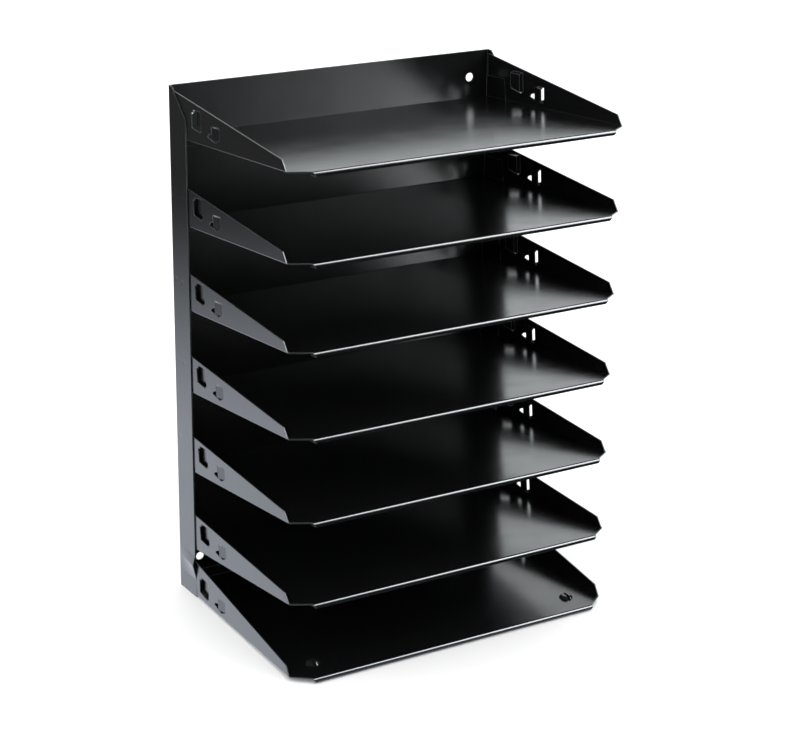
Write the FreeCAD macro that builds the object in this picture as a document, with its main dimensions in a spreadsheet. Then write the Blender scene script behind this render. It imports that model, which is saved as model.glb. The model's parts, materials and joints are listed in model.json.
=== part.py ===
import FreeCAD, Part
import os
import re
import Sketcher

# Seven-tier desktop file sorter in painted sheet steel.
#
# One back panel with forward-turned side flanges carries seven letter trays, one above
# the other. Each tray is one bent sheet: a floor, two low side wings that taper to the
# front, a folded front hem, and a rear lip that is spot-welded to the back panel. The
# upper trays slope down towards the back. The base tray lies almost flat and stands on
# two push-in feet. Nothing moves: all joints are spot welds.
#
# Frame: millimetres, +Z up, front faces -Y, origin at the centre of the footprint, on
# the surface that the sorter stands on.

VECTOR = FreeCAD.Vector
TRAY_COUNT = 7

document = FreeCAD.newDocument("file_sorter")
sizes = document.addObject("Spreadsheet::Sheet", "Sizes")

DIMENSIONS = [
    ("overall_width", 305.0, "across the side flanges"),
    ("overall_height", 445.0, "back panel, from the desk up"),
    ("overall_depth", 217.5, "back panel's rear face to the front hem's nose"),
    ("panel_sheet", 1.0, "thickness of the back panel's sheet"),
    ("tray_sheet", 0.9, "thickness of the trays' sheet"),
    ("flange_depth", 31.4, "side flange, from the panel's rear face forward"),
    ("bevel_start", 6.0, "flat top of the side flange, before its bevel"),
    ("bevel_drop", 22.0, "height of the bevel on the flange's top front corner"),
    ("panel_bend", 1.4, "outside radius of the panel's two folds"),
    ("wall_hole", 7.5, "diameter of the four wall screw holes"),
    ("wall_hole_side", 19.0, "wall hole centre to the side of the panel"),
    ("wall_hole_end", 23.0, "wall hole centre to the top or bottom of the panel"),
    ("joggle_back", 3.0, "plain strip of the flange beside the panel's fold"),
    ("joggle_top", 40.0, "height where the flange starts to flare out"),
    ("joggle_crest", 31.0, "height of the flare's crease"),
    ("joggle_foot", 17.0, "height where the flange's lower end is tucked in again"),
    ("joggle_flare", 2.4, "how far the flange's front edge flares out at the crease"),
    ("joggle_tuck", 1.0, "how far the flange's lower front edge is tucked in"),
    ("tray_pitch", 70.5, "height from one tray's front corner to the next"),
    ("top_tray_height", 421.0, "height of the top tray's front corner"),
    ("top_tray_tilt", 5.1, "degrees that the top tray drops towards the back"),
    ("tilt_step", 0.5, "degrees that each lower tray adds"),
    ("base_tray_height", 3.8, "height of the base tray's front corner"),
    ("base_tray_tilt", 0.9, "degrees that the base tray drops towards the back"),
    ("wing_gap", 0.05, "paint between a wing and the flange it is welded to"),
    ("front_reach", 14.0, "floor in front of the wings, to the hem's nose"),
    ("corner_inset", 15.6, "width of the chamfer at the floor's front corners"),
    ("hem_radius", 2.25, "outside radius of the hem's nose"),
    ("hem_return", 9.0, "length of the hem's return under the floor"),
    ("hem_mitre", 3.4, "how far the hem's return stops short of its nose"),
    ("tray_bend", 1.3, "outside radius of the fold between floor and wing"),
    ("wing_front_back", 5.8, "wing's top front corner behind its bottom corner"),
    ("wing_front_rise", 9.0, "height of the wing at its front"),
    ("wing_end_rise", 36.0, "height of the wing at its rear end"),
    ("top_wing_end_rise", 38.5, "height of the top tray's wing at its rear end"),
    ("wing_clear", 3.0, "rear end of the wing to the panel's rear face"),
    ("wing_heel_back", 170.6, "rear end of the wing's bottom edge"),
    ("wing_heel_lean", 1.8, "how much further back the heel's upper end is"),
    ("wing_tongue_rise", 19.0, "lower edge of the tongue behind the flange"),
    ("rear_lip", 10.0, "height of the lip welded to the back panel"),
    ("rear_bend", 0.8, "radius along the top of the rear lip's fold"),
    ("tab_back", 161.4, "rear end of the L-shaped slot"),
    ("tab_front", 146.0, "front end of the L-shaped slot"),
    ("tab_rise", 24.5, "top of the L-shaped slot"),
    ("tab_foot_rear", 12.2, "bottom of the slot at its rear end"),
    ("tab_foot_front", 9.5, "bottom of the slot at its front end"),
    ("tab_slot", 3.5, "width of the slot's upright leg"),
    ("tab_slot_foot", 2.0, "width of the slot's foot"),
    ("tab_push", 3.0, "how far the tab is pushed in"),
    ("tab_ramp", 1.2, "length of the steps at the tab's front and top"),
    ("tab_wall", 0.6, "extra sheet kept inside those steep steps"),
    ("tab_reach", 3.0, "how far the pushed area runs beyond the slot's two ends"),
    ("bridge_front", 111.3, "front end of the bridge's window"),
    ("bridge_strip", 113.2, "front edge of the bridge strip"),
    ("bridge_width", 12.3, "width of the bridge strip"),
    ("bridge_heel", 6.0, "lowest point of the window behind the strip's front edge"),
    ("bridge_back", 132.7, "rear point of the bridge's window"),
    ("bridge_slant", 1.5, "how far the window's rear edge leans to the front"),
    ("bridge_rise", 18.2, "top of the bridge's window"),
    ("bridge_rise_back", 12.0, "top of the window behind the strip"),
    ("bridge_rise_point", 10.4, "top of the window at its rear point"),
    ("bridge_low_point", 8.4, "bottom of the window at its front and rear ends"),
    ("bridge_low_strip", 7.8, "bottom of the window at the strip's front edge"),
    ("bridge_low", 5.2, "lowest point of the bridge's window"),
    ("bridge_push", 2.0, "how far the bridge strip's front edge is pushed in"),
    ("bridge_push_rear", 0.2, "how far its rear edge is pushed in"),
    ("bridge_ramp", 1.6, "length of the strip's ramps"),
    ("bridge_root", 0.8, "how far the strip's ends run on into the wing"),
    ("bridge_bend", 0.5, "how much further the ramps reach on the papers' side"),
    ("base_shift_back", 4.0, "how much further back the base tray's slots are"),
    ("base_tab_drop", 5.0, "how much lower the base tray's L-shaped slots are"),
    ("base_bridge_drop", 1.0, "how much lower the base tray's bridges are"),
    ("foot_hole", 11.0, "diameter of the holes for the feet"),
    ("foot_side", 28.3, "foot centre to the side of the sorter"),
    ("foot_back", 11.0, "foot centre behind the wing's front corner"),
    ("foot_head", 17.0, "diameter of a foot's head"),
    ("foot_stem_rise", 2.6, "height of the foot's split stem above the floor"),
    ("foot_barb", 0.35, "how far the stem's barb reaches over the hole's edge"),
    ("foot_slit", 2.4, "width of the slit in the stem"),
]
for row, (alias, value, note) in enumerate(DIMENSIONS, start=1):
    sizes.set(f"A{row}", note)
    sizes.set(f"B{row}", str(value))
    sizes.setAlias(f"B{row}", alias)
document.recompute()


# ---------------------------------------------------------------- drawing helpers

ALIASES = {alias for alias, value, note in DIMENSIONS}


def named(expression):
    """Turn bare alias words into references to the sheet."""
    return re.sub(r"[a-z_]+", lambda word: "Sizes." * (word[0] in ALIASES) + word[0], expression)


def worked_out(body, expression):
    """The present value of an expression in the sheet's words."""
    value = body.evalExpression(named(expression))
    return float(getattr(value, "Value", value))


def origin_plane(body, role):
    """One of the body's own origin planes."""
    return next(item for item in body.Origin.OriginFeatures if item.Role == role)


def new_sketch(body, name, role, offset="0"):
    """An empty sketch on one of the body's planes, moved along its normal."""
    sketch = body.newObject("Sketcher::SketchObject", name)
    sketch.AttachmentSupport = [(origin_plane(body, role), "")]
    sketch.MapMode = "FlatFace"
    if offset != "0":
        sketch.AttachmentOffset = FreeCAD.Placement(VECTOR(0, 0, worked_out(body, offset)), FreeCAD.Rotation())
        sketch.setExpression("AttachmentOffset.Base.z", named(offset))
    return sketch


def outline(body, name, role, corners, offset="0"):
    """A closed outline of straight edges, each corner bound to the sheet."""
    sketch = new_sketch(body, name, role, offset)
    points = [VECTOR(worked_out(body, across), worked_out(body, up), 0) for across, up in corners]
    count = len(points)
    for index in range(count):
        sketch.addGeometry(Part.LineSegment(points[index], points[(index + 1) % count]), False)
    for index in range(count):
        following = (index + 1) % count
        sketch.addConstraint(Sketcher.Constraint("Coincident", index, 2, following, 1))
    for index, (across, up) in enumerate(corners):
        for kind, expression, value in (("DistanceX", across, points[index].x),
                                        ("DistanceY", up, points[index].y)):
            number = sketch.addConstraint(Sketcher.Constraint(kind, -1, 1, index, 1, value))
            sketch.setExpression(f"Constraints[{number}]", named(expression))
    return sketch


def circle(body, name, role, across, up, diameter):
    """A circle with its centre and diameter bound to the sheet."""
    sketch = new_sketch(body, name, role)
    centre = VECTOR(worked_out(body, across), worked_out(body, up), 0)
    radius = worked_out(body, diameter) / 2
    sketch.addGeometry(Part.Circle(centre, VECTOR(0, 0, 1), radius), False)
    bound = (("DistanceX", across, centre.x), ("DistanceY", up, centre.y))
    for kind, expression, value in bound:
        number = sketch.addConstraint(Sketcher.Constraint(kind, -1, 1, 0, 3, value))
        sketch.setExpression(f"Constraints[{number}]", named(expression))
    number = sketch.addConstraint(Sketcher.Constraint("Diameter", 0, 2 * radius))
    sketch.setExpression(f"Constraints[{number}]", named(diameter))
    return sketch


def feature(body, kind, name, profile, length=None, both_ways=False, reverse=False):
    """A Pad or a Pocket of a sketch."""
    made = body.newObject("PartDesign::" + kind, name)
    made.Profile = profile
    if length is None:
        made.Type = "ThroughAll"
    else:
        made.setExpression("Length", named(length))
    if both_ways:
        made.Midplane = True
    made.Reversed = reverse
    return made


def loft(body, kind, name, sections):
    """A ruled loft through two or more outlines."""
    made = body.newObject("PartDesign::" + kind, name)
    made.Profile = sections[0]
    made.Sections = sections[1:]
    made.Ruled = True
    return made


def mirrored(body, name, originals):
    """The same features again on the other side of the YZ plane."""
    made = body.newObject("PartDesign::Mirrored", name)
    made.Originals = originals
    made.MirrorPlane = (origin_plane(body, "YZ_Plane"), [""])
    body.Tip = made
    return made


def edges_at(shape, direction, places, reach=0.02):
    """Names of straight edges along X, Y or Z whose other two coordinates are given."""
    axis = "xyz".index(direction)
    names = []
    for number, edge in enumerate(shape.Edges, start=1):
        if not isinstance(edge.Curve, Part.Line) or abs(abs(edge.Curve.Direction[axis]) - 1) > 1e-6:
            continue
        middle = edge.CenterOfMass
        spot = [middle[item] for item in range(3) if item != axis]
        if any(abs(spot[0] - place[0]) < reach and abs(spot[1] - place[1]) < reach for place in places):
            names.append(f"Edge{number}")
    return names


def rounded(body, name, base, direction, places, radius):
    """Fillet of the straight edges at the given places, in the body's own axes."""
    document.recompute()
    names = edges_at(base.Shape, direction, places)
    if not names:
        raise ValueError(f"{body.Label}: no edges found for {name}")
    made = body.newObject("PartDesign::Fillet", name)
    made.Base = (base, names)
    made.setExpression("Radius", named(radius))
    return made


# ---------------------------------------------------------------- back panel

def make_back_panel():
    """Full-height sheet with side flanges; its rear face is the plane y = 0 of the body."""
    body = document.addObject("PartDesign::Body", "back_panel")
    body.Label = "back_panel"
    half = "overall_width / 2"

    sheet = outline(body, "PanelOutline", "XZ_Plane", [
        ("0 - overall_width / 2", "0"), (half, "0"),
        (half, "overall_height"), ("0 - overall_width / 2", "overall_height")])
    feature(body, "Pad", "PanelSheet", sheet, "panel_sheet")

    # Each flange is a plate above the joggle and a ruled skin below it.
    left = "0 - overall_width / 2"
    flange = outline(body, "FlangeOutline", "YZ_Plane", [
        ("0", "0"), ("0 - joggle_back", "0"), ("0 - joggle_back", "joggle_top"),
        ("0 - flange_depth", "joggle_top"),
        ("0 - flange_depth", "overall_height - bevel_drop"),
        ("0 - bevel_start", "overall_height"), ("0", "overall_height")], offset=left)
    plate = feature(body, "Pad", "FlangePlate", flange, "panel_sheet")

    levels = [("JoggleStart", "joggle_top", "0"), ("JoggleCrease", "joggle_crest", "joggle_flare"),
              ("JoggleTuck", "joggle_foot", "0 - joggle_tuck"), ("JoggleEnd", "0", "0 - joggle_tuck")]
    sections = []
    for name, height, flare in levels:
        sections.append(outline(body, name, "XY_Plane", [
            (left, "0 - joggle_back"), (f"{left} - ( {flare} )", "0 - flange_depth"),
            (f"{left} - ( {flare} ) + panel_sheet", "0 - flange_depth"),
            (f"{left} + panel_sheet", "0 - joggle_back")], offset=height))
    skin = loft(body, "AdditiveLoft", "FlangeFoot", sections)
    both = mirrored(body, "RightFlange", [plate, skin])

    half_width = worked_out(body, half)
    rounded(body, "PanelFolds", both, "z", [(-half_width, 0), (half_width, 0)], "panel_bend")

    # Four wall screw holes, one near each corner.
    holes = []
    for side, across in (("Left", "wall_hole_side - overall_width / 2"),
                         ("Right", "overall_width / 2 - wall_hole_side")):
        for end, up in (("Low", "wall_hole_end"), ("High", "overall_height - wall_hole_end")):
            name = f"WallHole{side}{end}"
            drawn = circle(body, name + "Circle", "XZ_Plane", across, up, "wall_hole")
            holes.append(feature(body, "Pocket", name, drawn, "panel_sheet * 4", both_ways=True))
    body.Tip = holes[-1]
    body.setExpression("Placement.Base.y", named("overall_depth / 2"))
    return body


# ---------------------------------------------------------------- trays

def tray_tilt(index):
    """Slope of a tray in degrees, as an expression; the base tray is the last."""
    if index == TRAY_COUNT - 1:
        return "base_tray_tilt"
    return f"top_tray_tilt + tilt_step * {index}"


def make_tray(index):
    """One tray: its own Y runs back along the floor from the wings' front corners."""
    is_base = index == TRAY_COUNT - 1
    body = document.addObject("PartDesign::Body", f"tray_{index + 1}")
    body.Label = f"tray_{index + 1}"
    tilt = f"( ( {tray_tilt(index)} ) * 1 deg )"
    half = "( overall_width / 2 - panel_sheet - wing_gap )"
    run_back = f"( ( overall_depth - front_reach - panel_sheet ) / cos{tilt} )"
    end_rise = "top_wing_end_rise" if index == 0 else "wing_end_rise"

    floor = outline(body, "FloorOutline", "XY_Plane", [
        (f"0 - {half}", "0"),
        (f"corner_inset - {half}", "hem_radius - front_reach"),
        (f"{half} - corner_inset", "hem_radius - front_reach"),
        (half, "0"),
        (half, f"{run_back} - tray_sheet * tan{tilt}"),
        (f"0 - {half}", f"{run_back} - tray_sheet * tan{tilt}")])
    feature(body, "Pad", "Floor", floor, "tray_sheet")

    # The rear lip is upright once the tray is tilted. It turns down, except on the base tray.
    lip_end = "rear_lip" if is_base else "( 0 - rear_lip )"
    lip = outline(body, "RearLipOutline", "YZ_Plane", [
        (f"{run_back}", "0"),
        (f"{run_back} - {lip_end} * sin{tilt}", f"{lip_end} * cos{tilt}"),
        (f"{run_back} - {lip_end} * sin{tilt} - tray_sheet * cos{tilt}",
         f"{lip_end} * cos{tilt} - tray_sheet * sin{tilt}"),
        (f"{run_back} - tray_sheet / cos{tilt}", "0")])
    welded = feature(body, "Pad", "RearLip", lip, f"{half} * 2 - tray_sheet * 4", both_ways=True)
    if not is_base:
        rear = worked_out(body, f"{run_back} - tray_sheet * tan{tilt}")
        place = (rear, worked_out(body, "tray_sheet"))
        rounded(body, "RearBend", welded, "x", [place], "rear_bend")

    wing = outline(body, "WingOutline", "YZ_Plane", [
        ("0", "0"), ("wing_front_back", "wing_front_rise"),
        (f"{run_back} - wing_clear - {end_rise} * tan{tilt}", end_rise),
        (f"{run_back} - wing_clear - wing_tongue_rise * tan{tilt}", "wing_tongue_rise"),
        ("wing_heel_back + wing_heel_lean", "wing_tongue_rise"),
        ("wing_heel_back", "0")], offset=f"0 - {half}")
    left_wing = feature(body, "Pad", "LeftWing", wing, "tray_sheet")
    both_wings = mirrored(body, "RightWing", [left_wing])

    half_width = worked_out(body, half)
    thickness = worked_out(body, "tray_sheet")
    outer = rounded(body, "WingFolds", both_wings, "y", [(-half_width, 0), (half_width, 0)], "tray_bend")
    inner_at = half_width - thickness
    rounded(body, "WingFoldsInside", outer, "y", [(-inner_at, thickness), (inner_at, thickness)],
            "tray_bend - tray_sheet")

    hem_low = "( tray_sheet - hem_radius * 2 )"
    hem = outline(body, "HemOutline", "YZ_Plane", [
        ("hem_radius - front_reach", "tray_sheet"),
        ("0 - front_reach", "tray_sheet"),
        ("0 - front_reach", hem_low),
        ("hem_return - front_reach", hem_low),
        ("hem_return - front_reach", f"{hem_low} + tray_sheet"),
        ("tray_sheet - front_reach", f"{hem_low} + tray_sheet"),
        ("tray_sheet - front_reach", "0"),
        ("hem_radius - front_reach", "0")])
    fold = feature(body, "Pad", "Hem", hem, f"( {half} - corner_inset ) * 2", both_ways=True)
    reach = worked_out(body, "front_reach")
    low = worked_out(body, hem_low)
    nose = rounded(body, "HemNose", fold, "x", [(-reach, thickness), (-reach, low)], "hem_radius * 0.96")
    inside = [(thickness - reach, 0), (thickness - reach, low + thickness)]
    rounded(body, "HemNoseInside", nose, "x", inside, "( hem_radius - tray_sheet ) * 0.9")
    for side, sign in (("Left", "0 - "), ("Right", "")):
        end = f"( {half} - corner_inset )"
        mitre = outline(body, f"HemMitre{side}Outline", "XZ_Plane", [
            (f"{sign}( {end} + 1 )", "0"),
            (f"{sign}( {end} + 1 )", f"{hem_low} - 1"),
            (f"{sign}( {end} - hem_mitre )", f"{hem_low} - 1"),
            (f"{sign}{end}", "0")])
        feature(body, "Pocket", f"HemMitre{side}", mitre, "front_reach * 4", both_ways=True)

    back = " + base_shift_back" if is_base else ""
    tab_drop = " - base_tab_drop" if is_base else ""
    bridge_drop = " - base_bridge_drop" if is_base else ""
    cut_tabs(body, half, back, tab_drop)
    cut_bridges(body, half, back, bridge_drop)
    if is_base:
        cut_foot_holes(body)

    body.Placement = FreeCAD.Placement(VECTOR(0, 0, 0), FreeCAD.Rotation(VECTOR(-1, 0, 0), 1))
    body.setExpression("Placement.Rotation.Angle", named(tilt))
    body.setExpression("Placement.Base.y", named("front_reach - overall_depth / 2"))
    height = "base_tray_height" if is_base else f"top_tray_height - tray_pitch * {index}"
    body.setExpression("Placement.Base.z", named(height))
    return body


def cut_tabs(body, half, back, drop):
    """An L-shaped slot in each wing, and the tab inside its corner pushed towards the files."""
    slope = "( ( tab_foot_rear - tab_foot_front ) / ( tab_back - tab_front ) )"
    inner_back = "( tab_back - tab_slot )"
    inner_foot = f"( tab_foot_rear - {slope} * tab_slot + tab_slot_foot )"
    front_foot = "( tab_foot_front + tab_slot_foot )"
    slot = outline(body, "TabSlotOutline", "YZ_Plane", [
        ("tab_back" + back, "tab_rise" + drop),
        ("tab_back" + back, "tab_foot_rear" + drop),
        ("tab_front" + back, "tab_foot_front" + drop),
        ("tab_front" + back, front_foot + drop),
        (inner_back + back, inner_foot + drop),
        (inner_back + back, "tab_rise" + drop)])
    feature(body, "Pocket", "TabSlots", slot, "overall_width * 2", both_ways=True)

    slant = f"{slope} * tab_reach"

    def corner(name, inset, offset):
        """The pushed area at one depth; its front and top edges are moved in by the inset."""
        front = f"tab_front - tab_reach + {inset}"
        top = f"tab_rise + tab_reach - {inset}"
        return outline(body, name, "YZ_Plane", [
            (front + back, f"{front_foot} - {slant}" + drop),
            (inner_back + back, inner_foot + drop),
            (inner_back + back, top + drop),
            (front + back, top + drop)],
            offset=f"{offset} - {half}")

    raised = loft(body, "AdditiveLoft", "TabForm", [
        corner("TabFormBase", "0", "tray_sheet"),
        corner("TabFormFace", "tab_ramp", "tray_sheet + tab_push")])
    hollow = loft(body, "SubtractiveLoft", "TabHollow", [
        corner("TabHollowBase", "tab_wall", "0"),
        corner("TabHollowFace", "( tab_wall + tab_ramp )", "tab_push")])
    mirrored(body, "TabsRight", [raised, hollow])


def cut_bridges(body, half, back, drop):
    """A window in each wing, crossed by an upright strip that is pushed towards the files."""
    strip_back = "( bridge_strip + bridge_width )"
    window = outline(body, "BridgeWindowOutline", "YZ_Plane", [
        ("bridge_front" + back, "bridge_low_point" + drop),
        ("bridge_strip" + back, "bridge_low_strip" + drop),
        ("bridge_strip + bridge_heel" + back, "bridge_low" + drop),
        ("bridge_back" + back, "bridge_low_point" + drop),
        ("bridge_back - bridge_slant" + back, "bridge_rise_point" + drop),
        (strip_back + back, "bridge_rise_back" + drop),
        (strip_back + back, "bridge_rise" + drop),
        ("bridge_front" + back, "bridge_rise" + drop)])
    feature(body, "Pocket", "BridgeWindows", window, "overall_width * 2", both_ways=True)

    def section(name, push, along):
        """The left strip cut across: flush at both ends and pushed in between."""
        out, face = f"0 - {half}", f"tray_sheet - {half}"
        pushed, pushed_face = f"{push} - {half}", f"{push} + tray_sheet - {half}"
        return outline(body, name, "XZ_Plane", [
            (out, "bridge_rise + bridge_root" + drop), (out, "bridge_rise" + drop),
            (pushed, "bridge_rise - bridge_ramp" + drop), (pushed, "bridge_low + bridge_ramp" + drop),
            (out, "bridge_low" + drop), (out, "bridge_low - bridge_root" + drop),
            (face, "bridge_low - bridge_root" + drop), (face, "bridge_low - bridge_bend" + drop),
            (pushed_face, "bridge_low + bridge_ramp - bridge_bend" + drop),
            (pushed_face, "bridge_rise - bridge_ramp + bridge_bend" + drop),
            (face, "bridge_rise + bridge_bend" + drop), (face, "bridge_rise + bridge_root" + drop)],
            offset=f"0 - ( {along}{back} )")

    strip = loft(body, "AdditiveLoft", "BridgeStrip", [
        section("BridgeStripFront", "bridge_push", "bridge_strip"),
        section("BridgeStripRear", "bridge_push_rear", "bridge_strip + bridge_width")])
    mirrored(body, "BridgeStripRight", [strip])


def cut_foot_holes(body):
    """Two round holes near the base tray's front corners."""
    for side, across in (("Left", "foot_side - overall_width / 2"),
                         ("Right", "overall_width / 2 - foot_side")):
        drawn = circle(body, f"FootHole{side}Circle", "XY_Plane", across, "foot_back", "foot_hole")
        body.Tip = feature(body, "Pocket", f"FootHole{side}", drawn, "tray_sheet * 6", both_ways=True)


# ---------------------------------------------------------------- feet

def make_foot(name, across):
    """Push-in foot: a flat head under the floor and a split, barbed stem through it."""
    body = document.addObject("PartDesign::Body", name)
    body.Label = name
    floor_low = "( base_tray_height - foot_back * tan( base_tray_tilt * 1 deg ) )"
    head_top = f"( {floor_low} - 0.1 )"
    floor_top = f"( {floor_low} + tray_sheet + 0.15 )"
    stem = "( foot_hole / 2 - 0.25 )"
    barb = "( foot_hole / 2 + foot_barb )"
    section = outline(body, "FootSection", "XZ_Plane", [
        ("0", "0"), ("foot_head / 2 - 0.8", "0"), ("foot_head / 2", "0.8"),
        ("foot_head / 2", f"{head_top} - 0.3"), ("foot_head / 2 - 0.3", head_top), (stem, head_top),
        (stem, floor_top), (barb, f"{floor_top} + 0.3"),
        (f"{stem} - 1.3", f"{floor_top} + foot_stem_rise"), ("0", f"{floor_top} + foot_stem_rise")])
    turned = body.newObject("PartDesign::Revolution", "TurnedFoot")
    turned.Profile = section
    turned.ReferenceAxis = (section, ["V_Axis"])
    turned.Angle = 360
    slit = outline(body, "SlitOutline", "XZ_Plane", [
        ("0 - foot_slit / 2", f"{head_top} - 1"), ("foot_slit / 2", f"{head_top} - 1"),
        ("foot_slit / 2", f"{floor_top} + foot_stem_rise + 1"),
        ("0 - foot_slit / 2", f"{floor_top} + foot_stem_rise + 1")])
    body.Tip = feature(body, "Pocket", "Slit", slit, "foot_head * 2", both_ways=True)
    body.setExpression("Placement.Base.x", named(across))
    body.setExpression("Placement.Base.y", named("front_reach + foot_back - overall_depth / 2"))
    return body


# ---------------------------------------------------------------- assembly and files

pieces = [make_back_panel()]
for tray_index in range(TRAY_COUNT):
    pieces.append(make_tray(tray_index))
pieces.append(make_foot("foot_left", "foot_side - overall_width / 2"))
pieces.append(make_foot("foot_right", "overall_width / 2 - foot_side"))

document.recompute()
failed = [item.Name for item in document.Objects if "Invalid" in item.State or "Error" in item.State]
if failed:
    raise RuntimeError(f"these objects failed to recompute: {failed}")
os.makedirs("parts", exist_ok=True)
for piece in pieces:
    if piece.Shape.isNull() or not piece.Shape.isValid() or len(piece.Shape.Solids) != 1:
        raise RuntimeError(f"{piece.Label} isn't one valid solid")
    piece.Shape.exportStep(f"parts/{piece.Label}.step")
    box = piece.Shape.BoundBox
    print(f"{piece.Label:12s} {piece.Shape.Volume / 1000:8.2f} cm3  "
          f"x {box.XMin:8.2f} {box.XMax:8.2f}  y {box.YMin:8.2f} {box.YMax:8.2f}  "
          f"z {box.ZMin:8.2f} {box.ZMax:8.2f}")
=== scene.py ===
"""Looks of the letter sorter: black enamel, push-in feet, a pale table and soft studio light."""
import json
import math

import bmesh
import bpy
from mathutils import Matrix, Vector


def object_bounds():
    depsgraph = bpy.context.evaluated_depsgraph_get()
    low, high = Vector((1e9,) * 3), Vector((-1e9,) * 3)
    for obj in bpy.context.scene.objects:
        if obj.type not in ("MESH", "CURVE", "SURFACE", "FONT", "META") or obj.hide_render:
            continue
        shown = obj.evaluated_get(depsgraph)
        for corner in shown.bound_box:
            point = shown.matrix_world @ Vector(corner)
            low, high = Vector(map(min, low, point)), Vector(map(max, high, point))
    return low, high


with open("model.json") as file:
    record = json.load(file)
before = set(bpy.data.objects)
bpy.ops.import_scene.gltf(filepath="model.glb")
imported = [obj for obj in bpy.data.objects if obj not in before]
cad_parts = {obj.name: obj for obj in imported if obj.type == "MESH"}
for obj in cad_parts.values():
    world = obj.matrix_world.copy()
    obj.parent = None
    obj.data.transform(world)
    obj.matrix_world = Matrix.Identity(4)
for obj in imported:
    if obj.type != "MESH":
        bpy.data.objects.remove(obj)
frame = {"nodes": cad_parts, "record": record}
LOW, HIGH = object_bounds()
MIDDLE = (LOW + HIGH) / 2
UP = Vector((0, 0, 1))

# ---------------------------------------------------------------- camera
VIEW_AZIMUTH = -30.57       # degrees, 0 looks along +Y
VIEW_ELEVATION = 20.66
VIEW_ROLL = 0.82
VIEW_DISTANCE = 1.7925      # metres from the aim point
VIEW_AIM = Vector((0, -0.0065, -0.0159))   # from the middle of the sorter
LENS = 96.75                # millimetres on a 36 mm sensor

# ---------------------------------------------------------------- enamel, in metres
ENAMEL_BLACK = (0.0042, 0.0044, 0.0048, 1)
ENAMEL_IOR = 1.75
CLOUDS = {"Scale": 38.0, "Detail": 3.0, "Roughness": 0.55}      # where the gloss is duller
CLOUD_RANGE = (0.3, 0.7)    # of the noise
CLOUD_GLOSS = (0.18, 0.23)  # roughness at either end of that range
PEEL = {"Scale": 300.0, "Detail": 2.0}
PEEL_STRENGTH = 0.15
PEEL_DEPTH = 0.00002
EDGE_PAINT_AND_HIGHLIGHT = (0.13, 0.135, 0.145, 1)     # thin paint on the sheared edges, and a painted highlight along them
EDGE_RADIUS = 0.00045
EDGE_SAMPLES = 6
EDGE_TURN = (0.995, 0.90)   # cosine of the rounding where the edge begins and where it is whole
EDGE_DULLER = 0.10          # roughness that the edges add

# ---------------------------------------------------------------- weld marks, in metres
WELD_MIDDLE = 0.0128        # middle of each pair, in front of the panel's rear face
WELD_SPREAD = 0.0121        # between the two of a pair
WELD_HEIGHT = 0.283         # height of the third tray's pair
WELD_PITCH = 0.0705
WELD_RADIUS = 0.0026
WELD_FLAT = 0.4             # share of that radius where the dimple is flat
WELD_DEPTH = 0.00010
WELD_SIDE = 0.006           # the side faces lie within this of the sorter's width

# ---------------------------------------------------------------- feet, in metres
FOOT_BLACK = (0.012, 0.012, 0.013, 1)
FOOT_IOR = 1.5
FOOT_GLOSS = (0.06, 0.16)   # roughness at either end of the grain
GRAIN = {"Scale": 900.0, "Detail": 3.0}
GRAIN_STRENGTH = 0.2
GRAIN_DEPTH = 0.00003

# ---------------------------------------------------------------- table and room
WHITE = (1, 1, 1, 1)
TABLE_SIZE = (40.0, 40.0)
TABLE_WHITE = (0.93, 0.93, 0.93, 1)
TABLE_ROUGHNESS = 0.9
TABLE_TINT = (0.84, 0.90, 1.0, 1)   # of the table in the gloss
TABLE_IN_GLOSS = 1.6        # what the enamel sees of the table, behind the sorter's front
TABLE_BLEND = 0.03          # metres to either side of the front in which that begins
ROOM_LIGHT = 1.7            # what the white room gives the table
ROOM_IN_GLOSS = 0.015       # what the enamel sees of it above the table

# ---------------------------------------------------------------- lamps, backdrop and net, in metres
COOL_WHITE = (0.94, 0.99, 1.0)
BACKDROP_LIGHT = 1.35
BACKDROP_WAY = Vector((0.486, 0.874, 0))
BACKDROP_AWAY = 1.5
BACKDROP_LIFT = 0.33        # its middle above the sorter's
BACKDROP_SIZE = (3.0, 1.1)
NET_WAY = Vector((-0.508, 0.861, 0))
NET_AWAY = 0.55
NET_SHIFT = 0.15            # to the left, seen from the front
NET_SIZE = (0.9, 1.2)
NET_CLOSED = 0.26           # height above the table where the net is closed
NET_OPEN = -0.04            # height where it would be fully open
NET_GREY = 0.08             # what the closed net still gives
SOFTBOX_AWAY = 1.6
SOFTBOXES = {               # way from the sorter's middle, size, watts
    "key_softbox": (Vector((0.609, -0.426, 0.72)), (0.9, 1.55), 52.0),
    "fill_softbox": (Vector((0.525, -0.69, 0.5)), (0.56, 0.9), 3.2),
}


# ================================================================ node helpers
def node(tree, kind, **values):
    """Adds a node; keywords set its properties, or its inputs where the name is one."""
    made = tree.nodes.new(kind)
    for name, value in values.items():
        if name in made.inputs:
            made.inputs[name].default_value = value
        else:
            setattr(made, name, value)
    return made


def compute(tree, operation, *terms):
    """A Math node; each term is a number or a socket."""
    made = node(tree, "ShaderNodeMath", operation=operation)
    for socket, term in zip(made.inputs, terms):
        if isinstance(term, float):
            socket.default_value = term
        else:
            tree.links.new(term, socket)
    return made.outputs["Value"]


def map_range(tree, value, start, end, low=0.0, high=1.0, shape="LINEAR"):
    """The value's run from start to end becomes low to high."""
    made = node(tree, "ShaderNodeMapRange", interpolation_type=shape)
    for name, number in (("From Min", start), ("From Max", end), ("To Min", low), ("To Max", high)):
        made.inputs[name].default_value = number
    tree.links.new(value, made.inputs["Value"])
    return made.outputs["Result"]


def noise(tree, place, texture):
    made = node(tree, "ShaderNodeTexNoise", **texture)
    tree.links.new(place, made.inputs["Vector"])
    return made.outputs["Fac"]


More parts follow.
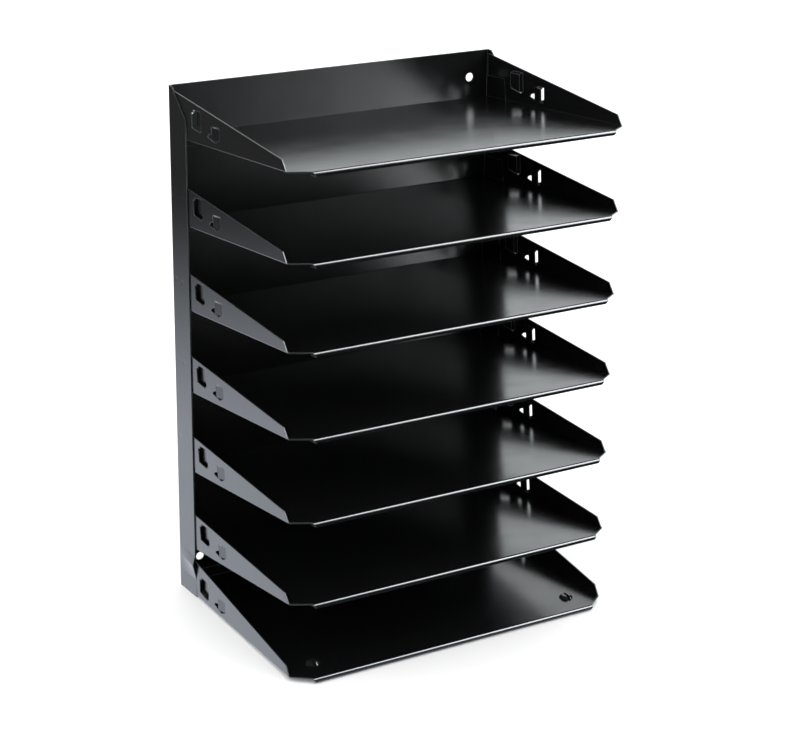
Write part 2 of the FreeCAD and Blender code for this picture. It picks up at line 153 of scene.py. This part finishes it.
def bump(tree, height, strength, depth, under=None, sunk=False):
    """A bump on top of the normal under it; sunk where its height digs in."""
    made = node(tree, "ShaderNodeBump", invert=sunk, Strength=strength, Distance=depth)
    tree.links.new(height, made.inputs["Height"])
    if under is not None:
        tree.links.new(under, made.inputs["Normal"])
    return made.outputs["Normal"]


def object_place(tree):
    return tree.nodes.new("ShaderNodeTexCoord").outputs["Object"]


def along_axes(tree, place):
    """X, Y and Z of a place as three sockets."""
    split = tree.nodes.new("ShaderNodeSeparateXYZ")
    tree.links.new(place, split.inputs["Vector"])
    return split.outputs["X"], split.outputs["Y"], split.outputs["Z"]


def mix_shaders(tree, share, first, second):
    made = tree.nodes.new("ShaderNodeMixShader")
    for socket, source in zip(made.inputs, (share, first, second)):
        tree.links.new(source, socket)
    return made.outputs["Shader"]


def other_in_gloss(tree, plain, glossy):
    """One shader for reflections and another for everything else."""
    path = tree.nodes.new("ShaderNodeLightPath")
    return mix_shaders(tree, path.outputs["Is Glossy Ray"], plain, glossy)


def empty_material(name):
    """A node material that holds only its output: the material, its tree and the surface socket."""
    material = bpy.data.materials.new(name)
    material.use_nodes = True
    tree = material.node_tree
    tree.nodes.clear()
    out = tree.nodes.new("ShaderNodeOutputMaterial")
    return material, tree, out.inputs["Surface"]


def painted_material(name, colour, ior):
    """A Principled material: the material, its tree and its shader."""
    material, tree, surface = empty_material(name)
    shader = node(tree, "ShaderNodeBsdfPrincipled", IOR=ior)
    shader.inputs["Base Color"].default_value = colour
    tree.links.new(shader.outputs["BSDF"], surface)
    return material, tree, shader


# ================================================================ finishes of the sorter
def spot_welds(tree, place):
    """Height of the shallow dimples that the welding tips left where wings meet flanges."""
    x, y, z = along_axes(tree, place)
    off_pair = compute(tree, "ABSOLUTE", compute(tree, "SUBTRACT", y, HIGH.y - WELD_MIDDLE))
    along = compute(tree, "SUBTRACT", off_pair, WELD_SPREAD / 2)
    from_third = compute(tree, "SUBTRACT", z, WELD_HEIGHT)
    up = compute(tree, "WRAP", from_third, WELD_PITCH / 2, -WELD_PITCH / 2)
    squares = [compute(tree, "MULTIPLY", leg, leg) for leg in (along, up)]
    away = compute(tree, "SQRT", compute(tree, "ADD", *squares))
    dimple = map_range(tree, away, WELD_RADIUS, WELD_RADIUS * WELD_FLAT, shape="SMOOTHSTEP")
    at_side = compute(tree, "GREATER_THAN", compute(tree, "ABSOLUTE", x), HIGH.x - WELD_SIDE)
    return compute(tree, "MULTIPLY", dimple, at_side)


def black_enamel():
    """Baked semi-gloss enamel: faint orange peel, cloudy gloss, thin paint and a painted highlight on the
    sheared edges.
    """
    material, tree, shader = painted_material("black_enamel", ENAMEL_BLACK, ENAMEL_IOR)
    link = tree.links.new
    place = object_place(tree)
    gloss = map_range(tree, noise(tree, place, CLOUDS), *CLOUD_RANGE, *CLOUD_GLOSS)

    rounded = node(tree, "ShaderNodeBevel", samples=EDGE_SAMPLES, Radius=EDGE_RADIUS)
    flat = tree.nodes.new("ShaderNodeNewGeometry")
    turn = node(tree, "ShaderNodeVectorMath", operation="DOT_PRODUCT")
    link(rounded.outputs["Normal"], turn.inputs[0])
    link(flat.outputs["Normal"], turn.inputs[1])
    edge = map_range(tree, turn.outputs["Value"], *EDGE_TURN)

    # the sheared edges turn lighter grey: thin paint there, and a painted highlight along them
    paint = node(tree, "ShaderNodeMix", data_type="RGBA")
    paint.inputs["A"].default_value = ENAMEL_BLACK
    paint.inputs["B"].default_value = EDGE_PAINT_AND_HIGHLIGHT
    link(edge, paint.inputs["Factor"])
    link(paint.outputs["Result"], shader.inputs["Base Color"])
    link(compute(tree, "MULTIPLY_ADD", edge, EDGE_DULLER, gloss), shader.inputs["Roughness"])

    peel = bump(tree, noise(tree, place, PEEL), PEEL_STRENGTH, PEEL_DEPTH, under=rounded.outputs["Normal"])
    welded = bump(tree, spot_welds(tree, place), 1.0, WELD_DEPTH, under=peel, sunk=True)
    link(welded, shader.inputs["Normal"])
    return material


def foot_plastic():
    """Moulded black plastic, glossy from its tool."""
    material, tree, shader = painted_material("foot_plastic", FOOT_BLACK, FOOT_IOR)
    grain = noise(tree, object_place(tree), GRAIN)
    tree.links.new(map_range(tree, grain, 0.0, 1.0, *FOOT_GLOSS), shader.inputs["Roughness"])
    tree.links.new(bump(tree, grain, GRAIN_STRENGTH, GRAIN_DEPTH), shader.inputs["Normal"])
    return material


def paint_nodes():
    """Every carried-over sheet gets the enamel and every foot the plastic."""
    finishes = {"black_enamel": black_enamel(), "foot_plastic": foot_plastic()}
    for entry in frame["record"]["subparts"]:
        piece = frame["nodes"][entry["node"]]
        piece.data.materials.clear()
        piece.data.materials.append(finishes[entry["material_slot"]])


# ================================================================ studio
def card(name, centre, size, material, facing=None):
    """A flat card on the stage; without a way to face it lies level and unturned."""
    width, height = size
    shape = bmesh.new()
    bmesh.ops.create_grid(shape, x_segments=1, y_segments=1, size=0.5)
    bmesh.ops.scale(shape, vec=(width, height, 1), verts=shape.verts)
    mesh = bpy.data.meshes.new(name)
    shape.to_mesh(mesh)
    shape.free()
    made = bpy.data.objects.new(name, mesh)
    bpy.context.scene.collection.objects.link(made)
    made.data.materials.append(material)
    made.location = centre
    if facing is not None:
        made.rotation_mode = "QUATERNION"
        made.rotation_quaternion = facing.to_track_quat("Z", "Y")
    return made


def only_in_gloss(thing):
    thing.visible_camera = False
    thing.visible_diffuse = False
    thing.visible_shadow = False


def table():
    """The pale table top that the sorter stands on; in gloss it is bright behind the front only."""
    material, tree, surface = empty_material("white_table")
    paint = node(tree, "ShaderNodeBsdfPrincipled", Roughness=TABLE_ROUGHNESS)
    paint.inputs["Base Color"].default_value = TABLE_WHITE
    paint.inputs["Specular IOR Level"].default_value = 0.0
    y = along_axes(tree, object_place(tree))[1]
    front = (LOW.y - TABLE_BLEND, LOW.y + TABLE_BLEND)
    behind = map_range(tree, y, *front, high=TABLE_IN_GLOSS, shape="SMOOTHSTEP")
    glow = node(tree, "ShaderNodeEmission", Color=TABLE_TINT)
    tree.links.new(behind, glow.inputs["Strength"])
    tree.links.new(other_in_gloss(tree, paint.outputs["BSDF"], glow.outputs["Emission"]), surface)
    card("table", (0, 0, LOW.z), TABLE_SIZE, material)


def backdrop():
    """A white card behind right, which the floors mirror."""
    material, tree, surface = empty_material("backdrop_white")
    glow = node(tree, "ShaderNodeEmission", Color=(*COOL_WHITE, 1), Strength=BACKDROP_LIGHT)
    tree.links.new(glow.outputs["Emission"], surface)
    centre = MIDDLE + BACKDROP_WAY * BACKDROP_AWAY + UP * BACKDROP_LIFT
    only_in_gloss(card("backdrop_card", centre, BACKDROP_SIZE, material, -BACKDROP_WAY))


def black_net():
    """A net behind left, open at its foot and closed above, so the side faces darken upwards."""
    material, tree, surface = empty_material("black_net")
    half = NET_SIZE[1] / 2
    y = along_axes(tree, object_place(tree))[1]
    open_part = map_range(tree, y, NET_CLOSED - half, NET_OPEN - half, shape="SMOOTHSTEP")
    threads = node(tree, "ShaderNodeEmission", Color=WHITE, Strength=NET_GREY)
    gaps = tree.nodes.new("ShaderNodeBsdfTransparent")
    woven = mix_shaders(tree, open_part, threads.outputs["Emission"], gaps.outputs["BSDF"])
    tree.links.new(woven, surface)
    centre = Vector((MIDDLE.x, MIDDLE.y, half)) + NET_WAY * NET_AWAY - NET_WAY.cross(UP) * NET_SHIFT
    only_in_gloss(card("net_card", centre, NET_SIZE, material, -NET_WAY))


def softbox(name, way, size, power):
    """A rectangular light that shows in the gloss only."""
    glow = bpy.data.lights.new(name, "AREA")
    glow.shape = "RECTANGLE"
    glow.size, glow.size_y = size
    glow.energy = power
    glow.color = COOL_WHITE
    lamp = bpy.data.objects.new(name, glow)
    bpy.context.scene.collection.objects.link(lamp)
    lamp.location = MIDDLE + way.normalized() * SOFTBOX_AWAY
    lamp.rotation_mode = "QUATERNION"
    lamp.rotation_quaternion = way.to_track_quat("Z", "Y")
    lamp.visible_camera = False
    lamp.visible_diffuse = False


def white_room():
    """An even white room that lights the table, nearly black in the gloss."""
    world = bpy.data.worlds.new("white_room")
    bpy.context.scene.world = world
    world.use_nodes = True
    tree = world.node_tree
    tree.nodes.clear()
    room = node(tree, "ShaderNodeBackground", Color=WHITE, Strength=ROOM_LIGHT)
    dim = node(tree, "ShaderNodeBackground", Color=WHITE, Strength=ROOM_IN_GLOSS)
    out = tree.nodes.new("ShaderNodeOutputWorld")
    both = other_in_gloss(tree, room.outputs["Background"], dim.outputs["Background"])
    tree.links.new(both, out.inputs["Surface"])


def studio():
    """White room and table, backdrop behind right, black net behind left, softboxes front right."""
    table()
    backdrop()
    black_net()
    for name, (way, size, power) in SOFTBOXES.items():
        softbox(name, way, size, power)
    white_room()
    bpy.context.scene.view_settings.view_transform = "Standard"


def set_camera():
    """Camera given by where it looks from, how far off and its lens."""
    a, e = math.radians(VIEW_AZIMUTH), math.radians(VIEW_ELEVATION)
    back = Vector((math.sin(a) * math.cos(e), -math.cos(a) * math.cos(e), math.sin(e)))
    right = Vector((math.cos(a), math.sin(a), 0))
    upright = back.cross(right)
    turn = Matrix((right, upright, back)).transposed()
    roll = Matrix.Rotation(math.radians(VIEW_ROLL), 3, back)
    lens = bpy.data.cameras.new("camera")
    lens.lens = LENS
    camera = bpy.data.objects.new("camera", lens)
    camera.rotation_mode = "QUATERNION"
    camera.rotation_quaternion = (roll @ turn).to_quaternion()
    camera.location = MIDDLE + VIEW_AIM + back * VIEW_DISTANCE
    bpy.context.scene.collection.objects.link(camera)
    bpy.context.scene.camera = camera


paint_nodes()
studio()
set_camera()
